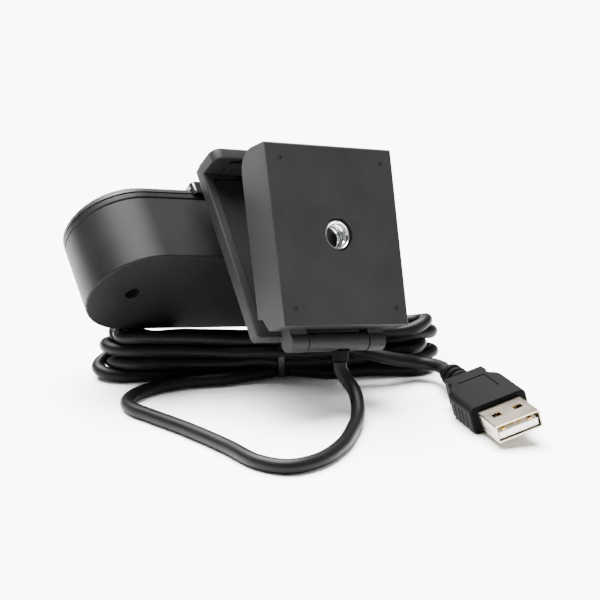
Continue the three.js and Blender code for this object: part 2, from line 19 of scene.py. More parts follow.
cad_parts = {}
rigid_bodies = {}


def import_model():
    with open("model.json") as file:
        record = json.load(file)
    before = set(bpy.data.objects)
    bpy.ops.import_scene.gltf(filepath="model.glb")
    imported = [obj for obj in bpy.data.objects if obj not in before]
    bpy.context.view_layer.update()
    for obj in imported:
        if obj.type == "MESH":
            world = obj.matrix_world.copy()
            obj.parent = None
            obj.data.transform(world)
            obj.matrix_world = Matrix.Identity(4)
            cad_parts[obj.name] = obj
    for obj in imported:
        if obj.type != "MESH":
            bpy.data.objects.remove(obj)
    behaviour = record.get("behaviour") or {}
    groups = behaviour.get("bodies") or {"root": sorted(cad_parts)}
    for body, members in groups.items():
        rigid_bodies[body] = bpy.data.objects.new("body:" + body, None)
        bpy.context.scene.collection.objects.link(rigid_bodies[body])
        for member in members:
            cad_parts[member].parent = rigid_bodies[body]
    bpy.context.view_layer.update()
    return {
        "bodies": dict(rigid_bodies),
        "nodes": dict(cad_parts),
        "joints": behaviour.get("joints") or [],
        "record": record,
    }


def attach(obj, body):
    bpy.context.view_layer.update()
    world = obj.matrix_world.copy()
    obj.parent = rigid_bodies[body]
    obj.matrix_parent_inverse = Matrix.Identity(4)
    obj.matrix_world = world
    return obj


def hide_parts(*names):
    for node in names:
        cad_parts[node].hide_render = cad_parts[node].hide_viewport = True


LOG = logging.getLogger("webcam")
MM = 0.001
Point = Sequence[float]


# ---------------------------------------------------------------- small shared tools


def linear(hex_colour: str) -> tuple[float, float, float, float]:
    """Turns an sRGB hex value into the linear colour that a shader socket takes.

    Args:
        hex_colour: Six hex digits with or without a leading hash.

    Returns:
        Linear red, green, blue and an alpha of one.
    """
    digits = hex_colour.lstrip("#")
    channels = [int(digits[i : i + 2], 16) / 255 for i in (0, 2, 4)]
    made = [c / 12.92 if c <= 0.04045 else ((c + 0.055) / 1.055) ** 2.4 for c in channels]
    return made[0], made[1], made[2], 1.0


def add_node(
    tree: bpy.types.NodeTree,
    kind: str,
    settings: Optional[dict] = None,
    inputs: Optional[dict] = None,
    links: Optional[dict] = None,
) -> bpy.types.Node:
    """Adds one node to a tree with its settings, socket values and incoming links.

    Args:
        tree: The material or geometry tree.
        kind: The node's type name.
        settings: Attributes to set on the node.
        inputs: Socket name or index to the constant it holds.
        links: Socket name or index to the output socket that feeds it.

    Returns:
        The new node.
    """
    node = tree.nodes.new(kind)
    for key, value in (settings or {}).items():
        setattr(node, key, value)
    for key, value in (inputs or {}).items():
        node.inputs[key].default_value = value
    for key, socket in (links or {}).items():
        tree.links.new(socket, node.inputs[key])
    return node


def object_from(name: str, mesh: bpy.types.Mesh) -> bpy.types.Object:
    """Puts a mesh in the scene as an object at the origin.

    Args:
        name: The piece's name.
        mesh: Its finished mesh, in metres in the row frame.

    Returns:
        The new object.
    """
    mesh.name = name
    made = bpy.data.objects.new(name, mesh)
    bpy.context.scene.collection.objects.link(made)
    return made


def mesh_from(name: str, vertices: Sequence[Point], faces: Sequence[Sequence[int]], place: Matrix) -> bpy.types.Object:
    """Makes a closed piece from points and faces and puts it in its place.

    Args:
        name: The piece's name.
        vertices: Points in the sub-assembly's own frame, in millimetres.
        faces: Corner numbers of each face.
        place: The matrix from that frame to the row frame.

    Returns:
        The object, with its doubles merged and its faces turned outwards.
    """
    mesh = bpy.data.meshes.new(name)
    mesh.from_pydata([tuple(place @ Vector(v)) for v in vertices], [], [list(f) for f in faces])
    work = bmesh.new()
    work.from_mesh(mesh)
    bmesh.ops.remove_doubles(work, verts=work.verts, dist=2e-6)
    bmesh.ops.recalc_face_normals(work, faces=work.faces)
    work.to_mesh(mesh)
    work.free()
    return object_from(name, mesh)


def bake(piece: bpy.types.Object) -> bpy.types.Object:
    """Turns an object and its modifiers into a plain mesh, and removes the modifiers.

    Args:
        piece: The object with modifiers.

    Returns:
        The same object, holding the evaluated mesh.
    """
    graph = bpy.context.evaluated_depsgraph_get()
    evaluated = piece.evaluated_get(graph)
    mesh = bpy.data.meshes.new_from_object(evaluated, preserve_all_data_layers=True, depsgraph=graph)
    piece.modifiers.clear()
    piece.data = mesh
    mesh.name = piece.name
    return piece


def soften(piece: bpy.types.Object, radius: float, steps: int = 3, corner: float = 32.0) -> bpy.types.Object:
    """Rounds every sharp edge of a piece and shades it smooth, as a moulding tool leaves it.

    Args:
        piece: The object to round.
        radius: The edge's width in millimetres.
        steps: Segments round each edge.
        corner: Edges that turn more than this many degrees are rounded.

    Returns:
        The same object with a plain mesh.
    """
    rounding = piece.modifiers.new("edge", "BEVEL")
    rounding.width = radius * MM
    rounding.segments = steps
    rounding.limit_method = "ANGLE"
    rounding.angle_limit = math.radians(corner)
    rounding.miter_outer = "MITER_ARC"
    piece.data.shade_smooth()
    level = piece.modifiers.new("flat_faces_stay_flat", "WEIGHTED_NORMAL")
    level.mode = "FACE_AREA"
    level.weight = 100
    level.keep_sharp = False
    return bake(piece)


def smooth(piece: bpy.types.Object, corner: float = 38.0) -> bpy.types.Object:
    """Shades a piece smooth except across edges that turn sharply.

    Args:
        piece: The object.
        corner: The turn in degrees past which an edge stays crisp.

    Returns:
        The same object.
    """
    mesh = piece.data
    mesh.shade_smooth()
    work = bmesh.new()
    work.from_mesh(mesh)
    for edge in work.edges:
        edge.smooth = len(edge.link_faces) == 2 and edge.calc_face_angle(0.0) < math.radians(corner)
    work.to_mesh(mesh)
    work.free()
    return piece


def copy_of(frame: dict, node: str, name: str) -> bpy.types.Object:
    """Copies a CAD node's mesh, merged into one skin with flat faces made whole.

    Args:
        node: The CAD node's name.
        name: The new piece's name.

    Returns:
        An object at the origin with the merged mesh.
    """
    mesh = frame["nodes"][node].data.copy()
    mesh.materials.clear()
    for attribute in [a.name for a in mesh.attributes if a.name.startswith("custom_normal")]:
        mesh.attributes.remove(mesh.attributes[attribute])
    work = bmesh.new()
    work.from_mesh(mesh)
    bmesh.ops.remove_doubles(work, verts=work.verts, dist=3e-6)
    bmesh.ops.dissolve_limit(
        work,
        angle_limit=math.radians(0.6),
        use_dissolve_boundaries=False,
        verts=work.verts,
        edges=work.edges,
    )
    work.to_mesh(mesh)
    work.free()
    return object_from(name, mesh)


def lathe(profile: Sequence[tuple[float, float]], sides: int = 48) -> tuple[list, list]:
    """Turns a profile round the local Y axis into a closed skin.

    Args:
        profile: Pairs of radius and height, from one pole or rim to the other.
        sides: Segments round the axis.

    Returns:
        Vertices and faces.
    """
    vertices, faces = [], []
    for radius, height in profile:
        for i in range(sides):
            a = 2 * math.pi * i / sides
            vertices.append((radius * math.cos(a), height, radius * math.sin(a)))
    for row in range(len(profile) - 1):
        for i in range(sides):
            j = (i + 1) % sides
            a, b = row * sides, (row + 1) * sides
            faces.append((a + i, a + j, b + j, b + i))
    if profile[0][0] > 1e-6:
        faces.append(tuple(range(sides)))
    if profile[-1][0] > 1e-6:
        last = (len(profile) - 1) * sides
        faces.append(tuple(last + i for i in reversed(range(sides))))
    return vertices, faces


# ---------------------------------------------------------------- finishes


class Slot(Enum):
    """The record's material slots."""

    SATIN = "satin_plastic"
    DARK = "dark_plastic"
    GLOSS = "gloss_plastic"
    RUBBER = "rubber"
    JACKET = "cord_jacket"
    STEEL = "steel"
    NICKEL = "nickel"
    WHITE = "white_plastic"
    GOLD = "gold"
    GLASS = "lens_glass"
    BOARD = "board"


class Surface(Enum):
    """How a surface was made, which decides the pattern its finish carries."""

    SPARK_ERODED = "spark eroded mould texture"
    POLISHED = "polished mould"
    DRAWN = "drawn through a die"
    TURNED = "turned or rolled metal"
    CAST_RUBBER = "cast rubber"


@dataclass(frozen=True)
class Finish:
    """One real material with the way its surface was made."""

    name: str
    surface: Surface
    colour: str
    worn: str
    roughness: float
    spread: float = 0.06
    grain: float = 0.25
    depth: float = 0.01
    metallic: float = 0.0
    ior: float = 1.5
    coat: float = 0.0
    specular: float = 0.5
    clear: float = 0.0

    def material(self) -> bpy.types.Material:
        """Gives the finish's material, building it the first time.

        Returns:
            The node material.
        """
        found = bpy.data.materials.get(self.name)
        return found if found else self._build()

    def _build(self) -> bpy.types.Material:
        """Builds mottled colour, uneven gloss and a fine relief on object coordinates.

        Returns:
            The new material.
        """
        made = bpy.data.materials.new(self.name)
        made.use_nodes = True
        tree = made.node_tree
        tree.nodes.clear()
        shader = add_node(
            tree,
            "ShaderNodeBsdfPrincipled",
            inputs={"Metallic": self.metallic, "Coat Weight": self.coat, "Coat Roughness": 0.05,
                    "Transmission Weight": self.clear, "Specular IOR Level": self.specular},
        )
        if self.metallic < 0.5:
            shader.inputs["IOR"].default_value = self.ior
        place = add_node(tree, "ShaderNodeTexCoord")
        stretch = (1.0, 1.0, 1.0)
        if self.surface is Surface.DRAWN:
            stretch = (1.0, 1.0, 0.55)
        if self.surface is Surface.TURNED:
            stretch = (0.18, 1.0, 1.0)
        frame = add_node(
            tree, "ShaderNodeMapping", inputs={"Scale": stretch}, links={"Vector": place.outputs["Object"]}
        )
        broad = add_node(
            tree, "ShaderNodeTexNoise", inputs={"Scale": 1 / (14 * MM), "Detail": 4.0, "Roughness": 0.6},
            links={"Vector": frame.outputs["Vector"]},
        )
        fine = add_node(
            tree, "ShaderNodeTexNoise", inputs={"Scale": 1 / (self.grain * MM), "Detail": 2.0, "Roughness": 0.5},
            links={"Vector": frame.outputs["Vector"]},
        )
        tone = add_node(
            tree, "ShaderNodeValToRGB", links={"Fac": broad.outputs["Fac"]},
        )
        tone.color_ramp.elements[0].position = 0.35
        tone.color_ramp.elements[0].color = linear(self.colour)
        tone.color_ramp.elements[1].position = 0.72
        tone.color_ramp.elements[1].color = linear(self.worn)
        gloss = add_node(
            tree, "ShaderNodeMapRange",
            inputs={
                "From Min": 0.3, "From Max": 0.7,
                "To Min": self.roughness - self.spread, "To Max": self.roughness + self.spread,
            },
            links={"Value": broad.outputs["Fac"]},
        )
        relief = fine.outputs["Fac"]
        if self.surface in (Surface.SPARK_ERODED, Surface.CAST_RUBBER):
            pits = add_node(
                tree, "ShaderNodeTexVoronoi", inputs={"Scale": 1 / (1.9 * self.grain * MM)},
                links={"Vector": frame.outputs["Vector"]},
            )
            mixed = add_node(
                tree, "ShaderNodeMath", settings={"operation": "MULTIPLY_ADD"}, inputs={1: 0.6},
                links={0: pits.outputs["Distance"], 2: fine.outputs["Fac"]},
            )
            relief = mixed.outputs["Value"]
        bump = add_node(
            tree, "ShaderNodeBump", inputs={"Strength": 0.5, "Distance": self.depth * MM}, links={"Height": relief},
        )
        tree.links.new(tone.outputs["Color"], shader.inputs["Base Color"])
        tree.links.new(gloss.outputs["Result"], shader.inputs["Roughness"])
        tree.links.new(bump.outputs["Normal"], shader.inputs["Normal"])
        add_node(tree, "ShaderNodeOutputMaterial", links={"Surface": shader.outputs["BSDF"]})
        return made


# Spark-eroded ABS: a dry satin charcoal that spreads highlights wide and shows a fine sandy grain.
SATIN_ABS = Finish("moulded_satin_abs", Surface.SPARK_ERODED, "121312", "151615", 0.5, 0.05, 0.34, 0.02, specular=0.15)
# Finely textured ABS of the camera body: darker, with a closer grain, so it holds a soft broad sheen.
BODY_ABS = Finish("moulded_body_abs", Surface.SPARK_ERODED, "0b0c0c", "0e0f0f", 0.46, 0.05, 0.3, 0.014, specular=0.09)
# Polished ABS: piano black with slight orange peel, so reflections stay sharp but waver a little.
GLOSS_ABS = Finish("polished_black_abs", Surface.POLISHED, "0b0b0c", "0e0e0f", 0.1, 0.03, 2.4, 0.004, coat=0.4)
# Textured front panel in ABS, a step lighter than the body.
PANEL_ABS = Finish("moulded_panel_abs", Surface.SPARK_ERODED, "1a1b1b", "1e1f1f", 0.4, 0.05, 0.3, 0.012, specular=0.26)
# Cast silicone pad: matt black, pitted like fine leather so that it grips a screen.
PAD_RUBBER = Finish("cast_silicone_pad", Surface.CAST_RUBBER, "070707", "0b0b0b", 0.88, 0.06, 0.55, 0.09, specular=0.12)
# Extruded soft PVC: near-black with a satin skin, and faint ripples from the die and the winding.
JACKET_PVC = Finish("extruded_pvc_jacket", Surface.DRAWN, "070808", "0a0a0a", 0.44, 0.06, 0.9, 0.02, specular=0.09)
# Moulded PVC of the plug's grip: slightly matter than the jacket it is shot over.
GRIP_PVC = Finish("moulded_pvc_grip", Surface.SPARK_ERODED, "080909", "0a0b0b", 0.62, 0.05, 0.34, 0.03, specular=0.03)
# Nylon tie: hard, smooth and a little shinier than the jacket.
TIE_NYLON = Finish("moulded_nylon_tie", Surface.POLISHED, "0b0b0b", "0f0f0f", 0.36, 0.05, 1.2, 0.008, specular=0.25)
# Bright-plated brass insert: sharp mirror-like highlights along each thread.
PLATED_STEEL = Finish("plated_turned_steel", Surface.TURNED, "c9cbcc", "d6d7d8", 0.16, 0.05, 0.5, 0.006, metallic=1.0)
# Black oxide screws: dark metal with a dull sheen.
BLACK_STEEL = Finish("blackened_screw_steel", Surface.TURNED, "2b2b2c", "3a3a3b", 0.38, 0.06, 0.4, 0.006, metallic=1.0)
# Nickel-plated sheet steel, folded: warm bright metal with faint rolling lines.
NICKEL_SHEET = Finish("rolled_nickel_sheet", Surface.TURNED, "a89f8d", "b5ac9a", 0.22, 0.06, 0.45, 0.006, metallic=1.0)
# White PBT of the connector's tongue: opaque, clean and faintly satin.
TONGUE_PBT = Finish("moulded_white_pbt", Surface.POLISHED, "f1efe9", "e9e6de", 0.38, 0.05, 1.2, 0.006)
# Gold flash over nickel on the contacts.
GOLD_FLASH = Finish("gold_flashed_contact", Surface.TURNED, "d8a748", "e2b65c", 0.24, 0.05, 0.4, 0.004, metallic=1.0)
# Coated optical glass: a clear hard dome with a violet cast.
LENS_GLASS = Finish(
    "coated_optical_glass", Surface.POLISHED, "2a2440", "30304c", 0.04, 0.01, 3.0, 0.0005, coat=1.0, clear=0.5
)
# Diffusing window over the light beside the lens.
LED_WINDOW = Finish("diffusing_acrylic", Surface.POLISHED, "d5dbe2", "e2e6ea", 0.22, 0.04, 1.0, 0.003)
# Infra-red filter glass: a thin ruby plate.
FILTER_GLASS = Finish("ruby_filter_glass", Surface.POLISHED, "7b2f45", "86354d", 0.08, 0.02, 1.0, 0.001)
# Glass-fibre board under solder mask.
BOARD_MASK = Finish("solder_masked_board", Surface.POLISHED, "1c4f30", "235c39", 0.34, 0.06, 0.6, 0.01)


def dress(piece: bpy.types.Object, finish: Finish, slot: Slot, body: str, *stands_for: str) -> bpy.types.Object:
    """Gives a finished piece its material and body, and hides the CAD nodes it stands for.

    Args:
        piece: A piece with its place in its mesh.
        finish: What it is made of.
        slot: The record's slot for that material; not used.
        body: The CAD body that it rides on.
        stands_for: CAD nodes that are hidden for it.

    Returns:
        The same piece.
    """
    piece.data.materials.clear()
    piece.data.materials.append(finish.material())
    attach(piece, body)
    if stands_for:
        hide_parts(*stands_for)
    LOG.info("%s: %s", piece.name, finish.name)
    return piece


# ---------------------------------------------------------------- where the sub-assemblies sit


@dataclass(frozen=True)
class Placement:
    """The frames of the sub-assemblies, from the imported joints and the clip's lie on the table."""

    clip: Matrix
    jaw: Matrix
    head: Matrix
    plug: Matrix

    @classmethod
    def from_frame(cls, frame: dict) -> "Placement":
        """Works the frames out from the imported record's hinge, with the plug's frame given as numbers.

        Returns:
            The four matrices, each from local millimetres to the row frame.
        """
        hinge = next(j for j in frame["record"]["behaviour"]["joints"] if j["name"] == "clip_hinge")
        turn = [math.radians(a) for a in (-43.5, 8.6, 34.2)]
        spin = Matrix.Rotation(turn[2], 4, "Z") @ Matrix.Rotation(turn[1], 4, "Y") @ Matrix.Rotation(turn[0], 4, "X")
        clip = Matrix.Translation(Vector(hinge["pos_m"])) @ spin @ Matrix.Scale(MM, 4)
        jaw = clip @ Matrix.Rotation(math.radians(20.7), 4, "X")
        head = clip @ Matrix.Translation((0, 28.4, 31.4)) @ Matrix.Rotation(math.radians(84), 4, "X")
        plug = (
            Matrix.Translation((0.0483, -0.0140, 0.00535))
            @ Matrix.Rotation(math.radians(-72.8), 4, "Z")
            @ Matrix.Rotation(math.radians(15.8), 4, "X")
            @ Matrix.Scale(MM, 4)
        )
        return cls(clip, jaw, head, plug)


# ---------------------------------------------------------------- studio


@dataclass
class Studio:
    """A pale seamless floor, soft boxes and the camera."""

    camera_at: Point = (0.008, -0.381, 0.127)
    pitch: float = 74.6
    focal: float = 87.0

    def build(self) -> None:
        """Builds the camera, then the sweep and the lights."""
        self.camera()
        self.sweep()
        self.lights()

    def camera(self) -> bpy.types.Object:
        """Sets up the main camera.

        Returns:
            The camera object.
        """
        data = bpy.data.cameras.new("camera")
        data.lens = self.focal
        data.sensor_width = 36.0
        data.clip_start, data.clip_end = 0.01, 20.0
        made = bpy.data.objects.new("camera", data)
        made.location = self.camera_at
        made.rotation_euler = (math.radians(self.pitch), 0.0, 0.0)
        bpy.context.scene.collection.objects.link(made)
        bpy.context.scene.camera = made
        return made

    def sweep(self) -> bpy.types.Object:
        """Builds the paper that the webcam lies on, a wide flat sheet.

        Returns:
            The floor object.
        """
        vertices = [(x, y, 0.0) for x, y in ((-9.0, -9.0), (9.0, -9.0), (9.0, 9.0), (-9.0, 9.0))]
        made = mesh_from("floor", vertices, [(0, 1, 2, 3)], Matrix.Identity(4))
        paper = bpy.data.materials.new("matt_paper_sweep")
        paper.use_nodes = True
        tree = paper.node_tree
        shader = tree.nodes["Principled BSDF"]
        place = add_node(tree, "ShaderNodeTexCoord")
        fibres = add_node(
            tree, "ShaderNodeTexNoise", inputs={"Scale": 900.0, "Detail": 3.0},
            links={"Vector": place.outputs["Object"]},
        )
        tone = add_node(tree, "ShaderNodeValToRGB", links={"Fac": fibres.outputs["Fac"]})
        tone.color_ramp.elements[0].color = linear("f6f6f6")
        tone.color_ramp.elements[1].color = linear("fafafa")
        tree.links.new(tone.outputs["Color"], shader.inputs["Base Color"])
        shader.inputs["Roughness"].default_value = 0.75
        made.data.materials.append(paper)
        return made

    def lights(self) -> None:
        """Hangs a large soft box overhead and behind, a fill in front and a bright surround."""
        overhead = bpy.data.lights.new("overhead_silk", "SUN")
        overhead.energy = 34.0
        overhead.angle = math.radians(55)
        hung = bpy.data.objects.new("overhead_silk", overhead)
        hung.rotation_euler = Vector((0.2, -0.28, -0.94)).to_track_quat("-Z", "Y").to_euler()
        bpy.context.scene.collection.objects.link(hung)
        boxes = (
            ("left_box", (-0.8, -0.25, 0.6), (0.0, 0.0, 0.03), 0.6, 0.4),
            ("right_box", (0.7, -0.6, 0.7), (0.0, 0.0, 0.03), 0.5, 3.0),
        )
        for name, at, towards, size, watts in boxes:
            data = bpy.data.lights.new(name, "AREA")
            data.shape = "SQUARE"
            data.size = size
            data.energy = watts
            made = bpy.data.objects.new(name, data)
            made.location = at
            made.rotation_euler = (Vector(towards) - Vector(at)).to_track_quat("-Z", "Y").to_euler()
            bpy.context.scene.collection.objects.link(made)
        world = bpy.data.worlds.new("bright_surround")
        world.use_nodes = True
        world.node_tree.nodes["Background"].inputs["Color"].default_value = linear("ffffff")
        world.node_tree.nodes["Background"].inputs["Strength"].default_value = 0.42
        bpy.context.scene.world = world


# ---------------------------------------------------------------- cord


@dataclass
class TiedCord:
    """The whole lead: out of the hinge, round a front loop, five hank turns through a tie, and to the plug."""

    radius: float = 1.8
    length: float = 1.18
    pitch: float = 3.35
    tie_x: float = 3.0
    lowest: float = 2.6
    front_loop: tuple = (
        (18.28, -26.87, 12.95), (18.4, -27.25, 11.2), (20.0, -28.2, 8.6), (21.9, -30.2, 6.2), (22.6, -33.6, 4.0),
        (22.4, -38.6, 2.3), (21.2, -45.0, 1.82), (17.9, -57.0, 1.82), (12.2, -66.6, 1.82), (5.4, -70.4, 1.82),
        (-1.4, -67.6, 1.82), (-9.7, -57.1, 1.82), (-19.6, -45.9, 1.82), (-30.0, -35.8, 1.82), (-34.9, -30.9, 1.82),
        (-36.8, -26.3, 1.82), (-35.6, -20.8, 1.82), (-31.0, -14.8, 1.82), (-22.4, -9.9, 2.0), (-12.1, -7.6, 2.2),
        (-4.5, -4.6, 2.5),
    )
    tail: tuple = (
        (11.0, -4.0, 11.0), (19.0, -5.0, 10.0), (27.0, -5.9, 8.6), (33.4, -5.6, 6.9), (37.2, -3.9, 6.0),
        (41.0, -3.0, 5.0), (44.6, -4.2, 4.9), (46.8, -7.8, 5.1), (48.0, -12.4, 5.3), (48.3, -14.0, 5.35),
    )
    # Each end loop: front y, back y, front z, back z, how far out in x, and its height there.
    left_loops: tuple = (
        (-4.6, 4.6, 1.85, 6.4, -47.9, 3.0), (-4.6, 5.8, 5.3, 1.85, -44.2, 4.4), (-4.0, 6.8, 8.8, 9.6, -45.6, 8.9),
        (-1.4, 8.0, 11.2, 5.4, -43.0, 11.2), (-3.6, 3.6, 12.4, 11.2, -41.0, 13.0),
    )
    right_loops: tuple = (
        (1.2, 10.6, 1.85, 1.85, 43.6, 1.85), (3.4, 12.2, 4.9, 4.7, 45.2, 5.2), (0.8, 10.0, 7.4, 7.4, 42.0, 8.2),
        (3.4, 12.4, 10.2, 10.2, 44.8, 11.0), (1.0, 10.4, 13.0, 12.8, 43.2, 14.2),
    )
    keep_clear: tuple = (((-40.5, -2.1, 14.2), (-16.0, 14.6, 9.7)), ((28.1, -9.2, 13.2), (26.0, -4.6, 18.3)))

    def bundle(self) -> dict[str, tuple[float, float]]:
        """Gives where each strand crosses the tie, as a round bundle in rows.

        Returns:
            Strand letter to its y and z in millimetres.
        """
        s, h, z = self.pitch, self.pitch * 0.866, self.lowest
        return {
            "a": (-s / 2, z), "b": (s / 2, z), "c": (-s, z + h), "d": (0.0, z + h), "e": (s, z + h),
            "f": (-1.5 * s, z + 2 * h), "g": (-s / 2, z + 2 * h), "h": (s / 2, z + 2 * h), "i": (1.5 * s, z + 2 * h),
            "j": (-s, z + 3 * h), "k": (0.0, z + 3 * h),
        }

    @staticmethod
    def fold(side: int, loop: Point) -> list[Vector]:
        """Gives one end loop's points from its back run to its front run.

        Args:
            side: 1 at the right end, -1 at the left.
            loop: The loop's six sizes.

        Returns:
            Seven points.
        """
        front, back, low, high, out, top = loop
        middle, half = (front + back) / 2, (back - front) / 2
        points = []
        for angle in (90, 58, 28, 0, -28, -58, -90):
            s, c = math.sin(math.radians(angle)), math.cos(math.radians(angle))
            level = low + (high - low) * (s + 1) / 2
            across = out - side * half * 1.25 * (1 - c)
            points.append(Vector((across, middle + half * s, level + (top - level) * max(0.0, c))))
        return points

    def crossing(self, start: Vector, end: Vector, strand: str) -> list[Vector]:
        """Gives a run's points between two end loops, gathered where it crosses the tie.

        Args:
            start: Where the run leaves one loop.
            end: Where it meets the next.
            strand: Its letter in the bundle.

        Returns:
            Seven points along the run.
        """
        y, z = self.bundle()[strand]
        stations = [-24.0, -13.0, -5.0, self.tie_x, 11.0, 19.0, 28.0]
        if end.x < start.x:
            stations.reverse()
        points = []
        for x in stations:
            near = start if (x < self.tie_x) == (start.x < self.tie_x) else end
            t = min(1.0, max(0.0, (abs(x - self.tie_x) - 3) / (abs(near.x - self.tie_x) - 3))) ** 0.8
            t = t * t * (3 - 2 * t) if x != self.tie_x else 0.0
            points.append(Vector((x, y + (near.y - y) * t, z + (near.z - z) * t)))
        return points

    def route(self) -> list[Vector]:
        """Gives the lead's guide points from the hinge to the plug's boot.

        Returns:
            Points in millimetres.
        """
        points = [Vector(p) for p in self.front_loop]
        last = Vector((-60.0, 0.0, 0.0))
        for turn, (front, back) in enumerate(zip("abcfg", "dehik")):
            right = list(reversed(self.fold(1, self.right_loops[turn])))
            left = self.fold(-1, self.left_loops[turn])
            forward = self.crossing(last, right[0], front)
            points += forward if turn else forward[3:]
            points += right + self.crossing(right[-1], left[0], back) + left
            last = left[-1]
        points += self.crossing(last, Vector((60.0, 0.0, 0.0)), "j")[:4]
        return points + [Vector(p) for p in self.tail]

    @staticmethod
    def flowing(guide: list[Vector], step: float = 1.3) -> list[Vector]:
        """Runs one smooth curve through the guide points.

        Args:
            guide: Points in order.
            step: Distance between the points it gives.

        Returns:
            Closely spaced points.
        """
        p = [guide[0] * 2 - guide[1], *guide, guide[-1] * 2 - guide[-2]]
        made = []
        for a, b, c, d in zip(p, p[1:], p[2:], p[3:]):
            t0, t1 = 0.0, (b - a).length ** 0.5
            t2 = t1 + (c - b).length ** 0.5
            t3 = t2 + (d - c).length ** 0.5
            count = max(2, round((c - b).length / step))
            for i in range(count):
                t = t1 + (t2 - t1) * i / count
                a1 = a * ((t1 - t) / (t1 - t0)) + b * ((t - t0) / (t1 - t0))
                a2 = b * ((t2 - t) / (t2 - t1)) + c * ((t - t1) / (t2 - t1))
                a3 = c * ((t3 - t) / (t3 - t2)) + d * ((t - t2) / (t3 - t2))
                b1 = a1 * ((t2 - t) / (t2 - t0)) + a2 * ((t - t0) / (t2 - t0))
                b2 = a2 * ((t3 - t) / (t3 - t1)) + a3 * ((t - t1) / (t3 - t1))
                made.append(b1 * ((t2 - t) / (t2 - t1)) + b2 * ((t - t1) / (t2 - t1)))
        made.append(guide[-1])
        return made

    def settled(self, points: list[Vector], rounds: int = 70) -> list[Vector]:
        """Lets the strands push each other apart, bend evenly and rest on the table.

        Args:
            points: Closely spaced points along the lead.
            rounds: How many times the contacts are worked through.

        Returns:
            The points at rest, its two free ends unmoved.
        """
        line = np.array([tuple(p) for p in points])
        gap = np.linalg.norm(np.diff(line, axis=0), axis=1)
        along = np.concatenate([[0.0], np.cumsum(gap)])
        apart = np.abs(along[:, None] - along[None]) > 11.0
        free = np.clip((along - 170.0) / 15.0, 0, 1) * np.clip((along[-1] - 16.0 - along) / 15.0, 0, 1)
        thick = 2 * self.radius - 0.08
        for turn in range(rounds):
            off = line[:, None] - line[None]
            far = np.linalg.norm(off, axis=2)
            short = np.where(apart & (far < thick), (thick - far) / np.maximum(far, 1e-6), 0.0)
            push = (off * short[:, :, None]).sum(1) * 0.3
            for low, high in self.keep_clear:
                a, d = np.array(low), np.array(high) - np.array(low)
                t = np.clip(((line - a) @ d) / (d @ d), 0, 1)
                away = line - (a + t[:, None] * d)
                reach = np.linalg.norm(away, axis=1)
                push += away * (np.maximum(self.radius + 0.25 - reach, 0) / np.maximum(reach, 1e-6))[:, None] * 0.6
            line = line + np.clip(push, -0.5, 0.5) * free[:, None]
            bend = np.zeros_like(line)
            bend[2:-2] = (line[1:-3] + line[3:-1]) * (4 / 6) - (line[:-4] + line[4:]) / 6 - line[2:-2]
            line = line + bend * 0.5 * free[:, None]
            line[:, 2] = np.where(free > 0, np.maximum(line[:, 2], self.radius + 0.02), line[:, 2])
            line[:, 0] = np.clip(line[:, 0], -48.0, 47.0)
        return [Vector(p) for p in line]

    def build(self, name: str) -> bpy.types.Object:
        """Builds the lead as one smooth open curve with a round section.

        Args:
            name: The piece's name.

        Returns:
            The curve object.
        """
        points = self.settled(self.flowing(self.route()))
        curve = bpy.data.curves.new(name, "CURVE")
        curve.dimensions = "3D"
        curve.bevel_depth = self.radius * MM
        curve.bevel_resolution = 6
        curve.use_fill_caps = True
        spline = curve.splines.new("POLY")
        spline.points.add(len(points) - 1)
        for knot, at in zip(spline.points, points):
            knot.co = (*(at * MM), 1.0)
        spline.use_smooth = True
        made = bpy.data.objects.new(name, curve)
        bpy.context.scene.collection.objects.link(made)
        return made


@dataclass
class CableTie:
    """The nylon tie round the hank: a thin ribbed strap."""

    at_x: float = 3.0
    width: float = 1.9
    thick: float = 0.8
    centre: tuple = (0.0, 6.95)
    half: tuple = (7.15, 6.2)
    ribs: int = 46

    def build(self, name: str) -> bpy.types.Object:
        """Builds the strap as a closed loop with ratchet ribs on the outside.

        Args:
            name: The piece's name.

        Returns:
            The tie.
        """
        steps, vertices, faces = 96, [], []
        for i in range(steps):
            a = 2 * math.pi * i / steps
            power = 0.82
            c = math.copysign(abs(math.cos(a)) ** power, math.cos(a))
            s = math.copysign(abs(math.sin(a)) ** power, math.sin(a))
            for out, side in ((0, -1), (1, -0.8), (1, 0.8), (0, 1)):
                grow = self.thick * out + (0.12 if out and i % 2 else 0.0)
                vertices.append((
                    self.at_x + side * self.width / 2,
                    self.centre[0] + (self.half[0] - self.thick + grow) * c,
                    self.centre[1] + (self.half[1] - self.thick + grow) * s,
                ))
        for i in range(steps):
            j = (i + 1) % steps
            for n in range(4):
                m = (n + 1) % 4
                faces.append((4 * i + n, 4 * j + n, 4 * j + m, 4 * i + m))
        strap = mesh_from(name, vertices, faces, Matrix.Scale(MM, 4))
        smooth(strap, 50)
        return strap


# ---------------------------------------------------------------- what repeats or follows a rule


def tree_with(name: str, sockets: dict[str, str]) -> tuple[bpy.types.NodeTree, bpy.types.Node, dict[str, str]]:
    """Starts a geometry tree with named inputs and one geometry output.

    Args:
        name: The tree's name.
        sockets: Input name to socket type.

    Returns:
        The tree, its input node, and input name to socket identifier.
    """
    tree = bpy.data.node_groups.new(name, "GeometryNodeTree")
    tree.interface.new_socket("Geometry", in_out="OUTPUT", socket_type="NodeSocketGeometry")
    known = {}
    for label, kind in sockets.items():
        known[label] = tree.interface.new_socket(label, in_out="INPUT", socket_type=kind).identifier
    return tree, add_node(tree, "NodeGroupInput"), known


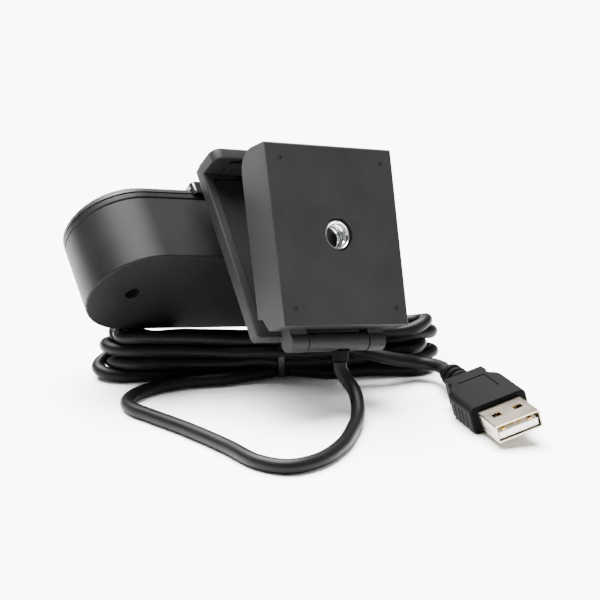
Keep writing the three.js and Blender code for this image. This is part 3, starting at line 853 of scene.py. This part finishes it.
def end_tree(tree: bpy.types.NodeTree, geometry: bpy.types.NodeSocket, finish: Finish) -> None:
    """Ends a tree in Realize Instances and Set Material.

    Args:
        tree: The tree.
        geometry: The socket that holds the finished shape.
        finish: What the shape is made of.
    """
    real = add_node(tree, "GeometryNodeRealizeInstances", links={"Geometry": geometry})
    painted = add_node(
        tree, "GeometryNodeSetMaterial", inputs={"Material": finish.material()},
        links={"Geometry": real.outputs["Geometry"]},
    )
    add_node(tree, "NodeGroupOutput", links={"Geometry": painted.outputs["Geometry"]})


def grown(name: str, tree: bpy.types.NodeTree, known: dict[str, str], values: dict, place: Matrix) -> bpy.types.Object:
    """Evaluates a tree once and keeps the result as a plain mesh in its place.

    Args:
        name: The piece's name.
        tree: The geometry tree.
        known: Input name to socket identifier.
        values: Input name to value.
        place: The matrix from the local frame to the row frame.

    Returns:
        The piece.
    """
    made = object_from(name, bpy.data.meshes.new(name))
    grower = made.modifiers.new("grow", "NODES")
    grower.node_group = tree
    for label, value in values.items():
        grower[known[label]] = value
    bake(made)
    made.data.transform(place)
    work = bmesh.new()
    work.from_mesh(made.data)
    bmesh.ops.remove_doubles(work, verts=work.verts, dist=1e-6)
    bmesh.ops.recalc_face_normals(work, faces=work.faces)
    work.to_mesh(made.data)
    work.free()
    return smooth(made)


def row_tree(name: str, finish: Finish) -> tuple[bpy.types.NodeTree, dict[str, str]]:
    """Builds the tree that sets copies of one shape in a row, each a little larger than the last.

    Args:
        name: The tree's name.
        finish: What the copies are made of.

    Returns:
        The tree and its input identifiers.
    """
    tree, given, known = tree_with(
        name,
        {"Shape": "NodeSocketObject", "Count": "NodeSocketInt", "First": "NodeSocketVector",
         "Step": "NodeSocketVector", "Growth": "NodeSocketFloat"},
    )
    line = add_node(
        tree, "GeometryNodeMeshLine",
        links={
            "Count": given.outputs["Count"], "Start Location": given.outputs["First"],
            "Offset": given.outputs["Step"],
        },
    )
    shape = add_node(tree, "GeometryNodeObjectInfo", links={"Object": given.outputs["Shape"]})
    index = add_node(tree, "GeometryNodeInputIndex")
    size = add_node(
        tree, "ShaderNodeMath", settings={"operation": "MULTIPLY_ADD"}, inputs={2: 1.0},
        links={0: index.outputs["Index"], 1: given.outputs["Growth"]},
    )
    across = add_node(
        tree, "ShaderNodeCombineXYZ", inputs={"X": 1.0}, links={"Y": size.outputs[0], "Z": size.outputs[0]}
    )
    placed = add_node(
        tree, "GeometryNodeInstanceOnPoints",
        links={
            "Points": line.outputs["Mesh"], "Instance": shape.outputs["Geometry"],
            "Scale": across.outputs["Vector"],
        },
    )
    end_tree(tree, placed.outputs["Instances"], finish)
    return tree, known


def in_row(
    name: str, shape: bpy.types.Object, count: int, first: Point, step: Point, finish: Finish, place: Matrix,
    growth: float = 0.0,
) -> bpy.types.Object:
    """Sets copies of a shape in a row and discards the pattern shape.

    Args:
        name: The piece's name.
        shape: The pattern shape, in local millimetres at the origin.
        count: How many.
        first: Where the first one goes, in local millimetres.
        step: From each to the next.
        finish: What they are made of.
        place: The matrix from the local frame to the row frame.
        growth: How much wider each is than the last, as a share.

    Returns:
        The row as one mesh.
    """
    tree, known = row_tree(name + "_row", finish)
    made = grown(
        name, tree, known,
        {"Shape": shape, "Count": count, "First": tuple(float(c) for c in first), "Step": tuple(float(c) for c in step),
         "Growth": float(growth)},
        place,
    )
    bpy.data.objects.remove(shape)
    return made


def thread_tree(name: str, finish: Finish) -> tuple[bpy.types.NodeTree, dict[str, str]]:
    """Builds the tree that winds a ridge into a screw thread.

    Args:
        name: The tree's name.
        finish: What the thread is cut in.

    Returns:
        The tree and its input identifiers.
    """
    tree, given, known = tree_with(
        name, dict.fromkeys(("Radius", "Turns", "Height", "Ridge"), "NodeSocketFloat")
    )
    coil = add_node(
        tree, "GeometryNodeCurveSpiral", inputs={"Resolution": 48},
        links={"Rotations": given.outputs["Turns"], "Start Radius": given.outputs["Radius"],
               "End Radius": given.outputs["Radius"], "Height": given.outputs["Height"]},
    )
    profile = add_node(
        tree, "GeometryNodeCurvePrimitiveCircle", inputs={"Resolution": 8}, links={"Radius": given.outputs["Ridge"]}
    )
    swept = add_node(
        tree, "GeometryNodeCurveToMesh", inputs={"Fill Caps": True},
        links={"Curve": coil.outputs["Curve"], "Profile Curve": profile.outputs["Curve"]},
    )
    end_tree(tree, swept.outputs["Mesh"], finish)
    return tree, known


def screw_head(radius: float, height: float) -> bpy.types.Object:
    """Makes the pattern shape of a pan-head screw with a cross recess, its axis along local Y.

    Args:
        radius: Head radius in millimetres.
        height: Head height in millimetres.

    Returns:
        The shape at the origin, its crown towards -Y.
    """
    sides, vertices, faces = 48, [], []
    rings = [(1.0, 0.0, 0.0), (1.0, 0.45, 0.0), (0.9, 0.82, 0.0), (0.72, 1.0, 0.0), (0.0, 1.0, 1.0), (0.0, 0.35, 0.8)]
    for share, up, recess in rings:
        for i in range(sides):
            a = 2 * math.pi * i / sides
            cross = radius * (0.16 + 0.42 * abs(math.cos(2 * a)) ** 5) * (recess if recess else 1.0)
            r = cross if recess else radius * share
            vertices.append((r * math.cos(a), -height * up, r * math.sin(a)))
    for row in range(len(rings) - 1):
        for i in range(sides):
            j = (i + 1) % sides
            faces.append((row * sides + i, row * sides + j, (row + 1) * sides + j, (row + 1) * sides + i))
    faces.append(tuple(reversed(range(sides))))
    faces.append(tuple((len(rings) - 1) * sides + i for i in range(sides)))
    return mesh_from("screw_pattern", vertices, faces, Matrix.Identity(4))


def ring(profile: Sequence[tuple[float, float]], sides: int = 64) -> tuple[list, list]:
    """Turns a closed profile round the local Y axis into a ring.

    Args:
        profile: Pairs of radius and height round the section.
        sides: Segments round the axis.

    Returns:
        Vertices and faces.
    """
    vertices, faces, n = [], [], len(profile)
    for i in range(sides):
        a = 2 * math.pi * i / sides
        vertices += [(r * math.cos(a), h, r * math.sin(a)) for r, h in profile]
    for i in range(sides):
        j = (i + 1) % sides
        for k in range(n):
            m = (k + 1) % n
            faces.append((i * n + k, j * n + k, j * n + m, i * n + m))
    return vertices, faces


@dataclass
class Part:
    """What every sub-assembly shares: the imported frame, its placement and copies of CAD nodes."""

    frame: dict
    place: Placement

    def moulded(
        self, node: str, finish: Finish, slot: Slot, body: str, radius: float = 0.35, steps: int = 3
    ) -> bpy.types.Object:
        """Shows a CAD node as a softened piece with rounded edges.

        Args:
            node: The CAD node.
            finish: What it is made of.
            slot: The record's slot.
            body: The body it rides on.
            radius: Edge width in millimetres.
            steps: Segments round each edge.

        Returns:
            The piece.
        """
        piece = copy_of(self.frame, node, node + "_moulded")
        soften(piece, radius, steps)
        return dress(piece, finish, slot, body, node)

    def finished(self, node: str, finish: Finish) -> None:
        """Gives a CAD node that stays as it is its finish.

        Args:
            node: The CAD node.
            finish: What it is made of.
        """
        shown = self.frame["nodes"][node]
        shown.data.materials.clear()
        shown.data.materials.append(finish.material())
        LOG.info("%s: %s", node, finish.name)


# ---------------------------------------------------------------- clip


@dataclass
class RearJaw(Part):
    """The block with the tripod socket, which turns on the hinge pin."""

    socket_z: float = 26.6
    face_y: float = -6.8
    insert_radius: float = 3.95
    bore_radius: float = 3.4
    thread_pitch: float = 1.27
    thread_turns: float = 3.2
    side_x: float = 17.0
    side_roll: float = 1.9
    roll_steps: int = 8
    face_reach: float = 0.3
    long_edge: float = 10.0

    def build(self) -> None:
        """Builds the block, the threaded insert, the cover, its pad and its screws."""
        self.block()
        self.moulded("rear_jaw_cover", SATIN_ABS, Slot.SATIN, "rear_jaw", 0.2, 2)
        self.moulded("rear_jaw_pad", PAD_RUBBER, Slot.RUBBER, "rear_jaw", 0.3)
        self.insert()
        self.screws()

    def block(self) -> None:
        """Builds the block: its face rolls softly into both sides, and every other edge is crisper."""
        piece = copy_of(self.frame, "rear_jaw", "rear_jaw_moulded")
        to_jaw = self.place.jaw.inverted()
        work = bmesh.new()
        work.from_mesh(piece.data)
        rolled = work.edges.layers.float.get("bevel_weight_edge") or work.edges.layers.float.new("bevel_weight_edge")
        for edge in work.edges:
            ends = [to_jaw @ v.co for v in edge.verts]
            on_face = all(abs(e.y - self.face_y) < self.face_reach and abs(e.x) > self.side_x for e in ends)
            if on_face and abs(ends[0].z - ends[1].z) > self.long_edge:
                edge[rolled] = 1.0
        work.to_mesh(piece.data)
        work.free()
        roll = piece.modifiers.new("rolled_sides", "BEVEL")
        roll.limit_method = "WEIGHT"
        roll.width = self.side_roll * MM
        roll.segments = self.roll_steps
        bake(piece)
        soften(piece, 0.5, 3)
        dress(piece, SATIN_ABS, Slot.SATIN, "rear_jaw", "rear_jaw")

    def insert(self) -> None:
        """Builds the plated bush, its real helical quarter-inch thread and the blind floor behind it."""
        place = self.place.jaw @ Matrix.Translation((0, 0, self.socket_z))
        top, foot = self.face_y + 0.7, 0.6
        r, b = self.insert_radius, self.bore_radius
        vertices, faces = ring([(b + 0.15, top), (r - 0.2, top), (r, top + 0.2), (r, foot), (b, foot), (b, top + 0.15)])
        bush = smooth(mesh_from("tripod_bush", vertices, faces, place))
        dress(bush, PLATED_STEEL, Slot.STEEL, "rear_jaw", "tripod_insert")
        tree, known = thread_tree("camera_thread", PLATED_STEEL)
        turns = self.thread_turns
        wound = grown(
            "tripod_thread", tree, known,
            {"Radius": self.bore_radius - 0.02, "Turns": turns, "Height": turns * self.thread_pitch, "Ridge": 0.5},
            place @ Matrix.Translation((0, top + 0.45, 0)) @ Matrix.Rotation(math.radians(-90), 4, "X"),
        )
        dress(wound, PLATED_STEEL, Slot.STEEL, "rear_jaw", "tripod_insert")
        depth = top + turns * self.thread_pitch + 0.5
        vertices, faces = lathe([(0.0, depth), (b - 0.02, depth), (b - 0.02, depth + 0.8), (0.0, depth + 0.8)], 48)
        floor = smooth(mesh_from("socket_floor", vertices, faces, place))
        dress(floor, BLACK_STEEL, Slot.STEEL, "rear_jaw", "tripod_insert")

    def screws(self) -> None:
        """Sets the two cover screws."""
        row = in_row(
            "cover_screws", screw_head(1.9, 0.85), 2, (-14.6, -4.85, -12.0), (29.2, 0, 0), BLACK_STEEL,
            self.place.jaw @ Matrix.Rotation(math.pi, 4, "X"),
        )
        dress(row, BLACK_STEEL, Slot.STEEL, "rear_jaw", "cover_screw_left", "cover_screw_right")


@dataclass
class FrontJaw(Part):
    """The plate with the lip, its pads, the hinge's middle knuckle and the head's neck."""

    def build(self) -> None:
        """Builds the plate, pads, neck, pins, washers, screws and the cord's gland."""
        self.moulded("front_jaw", SATIN_ABS, Slot.SATIN, "clip_base", 0.4)
        self.moulded("front_jaw_pad", PAD_RUBBER, Slot.RUBBER, "clip_base", 0.3)
        self.moulded("lip_pad", PAD_RUBBER, Slot.RUBBER, "clip_base", 0.25)
        self.moulded("neck", SATIN_ABS, Slot.SATIN, "clip_base", 0.35)
        self.moulded("cable_gland", GRIP_PVC, Slot.RUBBER, "clip_base", 0.2, 2)
        for node in ("tilt_pin", "hinge_pin", "friction_washer_left", "friction_washer_right"):
            self.moulded(node, PLATED_STEEL, Slot.STEEL, "clip_base", 0.12, 2)
        for node in ("neck_screw_low", "neck_screw_high"):
            self.moulded(node, BLACK_STEEL, Slot.STEEL, "clip_base", 0.12, 2)


# ---------------------------------------------------------------- camera head


@dataclass
class CameraHead(Part):
    """The camera body: two shells, the front panel, the glossy surround with its shutter, and the lens."""

    screw_x: float = 36.2

    def build(self) -> None:
        """Builds the shells, the front, the lens, the shutter, the screws and the insides."""
        self.moulded("rear_shell", BODY_ABS, Slot.DARK, "camera_head", 0.3)
        self.moulded("front_bezel", BODY_ABS, Slot.DARK, "camera_head", 0.15, 2)
        self.moulded("front_panel", PANEL_ABS, Slot.DARK, "camera_head", 0.2, 2)
        self.moulded("lens_surround", GLOSS_ABS, Slot.GLOSS, "camera_head", 0.3)
        self.moulded("lens_barrel", BODY_ABS, Slot.DARK, "camera_head", 0.2, 2)
        self.moulded("privacy_shutter", GLOSS_ABS, Slot.GLOSS, "shutter", 0.2)
        self.finished("lens_glass", LENS_GLASS)
        self.finished("status_light", LED_WINDOW)
        self.finished("ir_filter", FILTER_GLASS)
        self.finished("main_board", BOARD_MASK)
        self.finished("image_sensor", BOARD_MASK)
        self.finished("lens_holder", BODY_ABS)
        self.finished("microphone_left", PLATED_STEEL)
        self.finished("microphone_right", PLATED_STEEL)
        self.screws()

    def screws(self) -> None:
        """Sets the two case screws deep in their bores."""
        row = in_row(
            "case_screws", screw_head(2.0, 1.5), 2, (-self.screw_x, 7.6, 0), (2 * self.screw_x, 0, 0),
            BLACK_STEEL, self.place.head,
        )
        dress(row, BLACK_STEEL, Slot.STEEL, "camera_head", "case_screw_left", "case_screw_right")


# ---------------------------------------------------------------- plug


@dataclass
class UsbPlug(Part):
    """The moulded plug: ribbed boot, grip, folded nickel shell, white tongue and gold contacts."""

    rib_count: int = 3
    rib_pitch: float = 2.9

    def build(self) -> list[bpy.types.Object]:
        """Builds every piece of the plug.

        Returns:
            The pieces.
        """
        return [self.boot(), self.ribs(), self.grip(), *self.ridges(), *self.metal(), *self.contacts()]

    def boot(self) -> bpy.types.Object:
        """Builds the tapered core of the strain relief.

        Returns:
            The core.
        """
        profile = [(1.85, 0.0), (2.3, 0.15), (2.45, 4.0), (2.6, 8.5), (2.7, 8.9), (0.0, 8.9)]
        vertices, faces = lathe(profile, 40)
        along = self.place.plug @ Matrix.Rotation(-math.pi / 2, 4, "Z")
        core = smooth(mesh_from("plug_boot_core", vertices, faces, along))
        return dress(core, GRIP_PVC, Slot.RUBBER, "clip_base", "plug_boot")

    def ribs(self) -> bpy.types.Object:
        """Sets the boot's rounded rings, each wider than the last.

        Returns:
            The rings.
        """
        section = [(1.0, -0.3), (0.72, 0.5), (-0.72, 0.5), (-1.0, -0.3)]
        vertices, faces = ring([(2.6 + h, w) for w, h in section], 40)
        shape = mesh_from("rib_pattern", vertices, faces, Matrix.Rotation(-math.pi / 2, 4, "Z"))
        soften(shape, 0.25 / MM, 2)
        rings = in_row(
            "plug_boot_ribs", shape, self.rib_count, (1.0, 0, 0), (self.rib_pitch, 0, 0), GRIP_PVC,
            self.place.plug, 0.03,
        )
        return dress(rings, GRIP_PVC, Slot.RUBBER, "clip_base", "plug_boot")

    def grip(self) -> bpy.types.Object:
        """Builds the moulded grip.

        Returns:
            The grip.
        """
        return self.moulded("plug_overmold", GRIP_PVC, Slot.RUBBER, "clip_base", 0.45)

    def ridges(self) -> list[bpy.types.Object]:
        """Sets the finger ridges on both sides of the grip.

        Returns:
            One row a side.
        """
        made = []
        for side, name in ((-1, "right"), (1, "left")):
            vertices, faces = lathe([(0.0, -1.9), (0.22, -1.8), (0.34, -1.5), (0.34, 1.5), (0.22, 1.8), (0.0, 1.9)], 12)
            shape = mesh_from("ridge_pattern", vertices, faces, Matrix.Rotation(math.pi / 2, 4, "X"))
            row = in_row(
                f"grip_ridges_{name}", shape, 4, (20.6, side * 7.62, 0), (2.4, 0, 0), GRIP_PVC, self.place.plug
            )
            made.append(dress(row, GRIP_PVC, Slot.RUBBER, "clip_base"))
        return made

    def metal(self) -> list[bpy.types.Object]:
        """Builds the folded shell and the tongue inside it.

        Returns:
            The two pieces.
        """
        return [
            self.shell(),
            self.moulded("usb_tongue", TONGUE_PBT, Slot.WHITE, "clip_base", 0.15, 2),
        ]

    def shell(self) -> bpy.types.Object:
        """Builds the folded sheet shell, with its four latch windows left sharp as they are punched.

        Returns:
            The shell.
        """
        sheet = smooth(copy_of(self.frame, "usb_shell", "usb_shell_sheet"), 30.0)
        return dress(sheet, NICKEL_SHEET, Slot.NICKEL, "clip_base", "usb_shell")

    def contacts(self) -> list[bpy.types.Object]:
        """Sets the two long outer and two short inner contact strips.

        Returns:
            One row of each.
        """
        made = []
        for name, half, long, nodes in (
            ("outer", 3.5, 8.0, ("usb_contact_1", "usb_contact_4")),
            ("inner", 1.0, 7.0, ("usb_contact_2", "usb_contact_3")),
        ):
            vertices = [(x, y, z) for x in (0.0, long) for y in (-0.5, 0.5) for z in (-0.1, 0.1)]
            faces = [(0, 1, 3, 2), (4, 6, 7, 5), (0, 4, 5, 1), (2, 3, 7, 6), (0, 2, 6, 4), (1, 5, 7, 3)]
            shape = mesh_from("contact_pattern", vertices, faces, Matrix.Identity(4))
            row = in_row(
                f"contacts_{name}", shape, 2, (32.7, -half, 0.5), (0, 2 * half, 0), GOLD_FLASH, self.place.plug
            )
            made.append(dress(row, GOLD_FLASH, Slot.GOLD, "clip_base", *nodes))
        return made


# ---------------------------------------------------------------- everything


def main() -> None:
    """Loads the frame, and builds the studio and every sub-assembly in order."""
    logging.basicConfig(level=logging.INFO, format="%(name)s %(message)s")
    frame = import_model()
    place = Placement.from_frame(frame)
    Studio().build()
    cord = TiedCord()
    lead = dress(cord.build("cord"), JACKET_PVC, Slot.JACKET, "clip_base", "cord_front_loop", "cord_hank", "cord_tail")
    tie = dress(CableTie().build("cable_tie_strap"), TIE_NYLON, Slot.DARK, "clip_base", "cable_tie")
    plug = UsbPlug(frame, place).build()
    RearJaw(frame, place).build()
    FrontJaw(frame, place).build()
    CameraHead(frame, place).build()


if __name__ == "__main__":
    main()
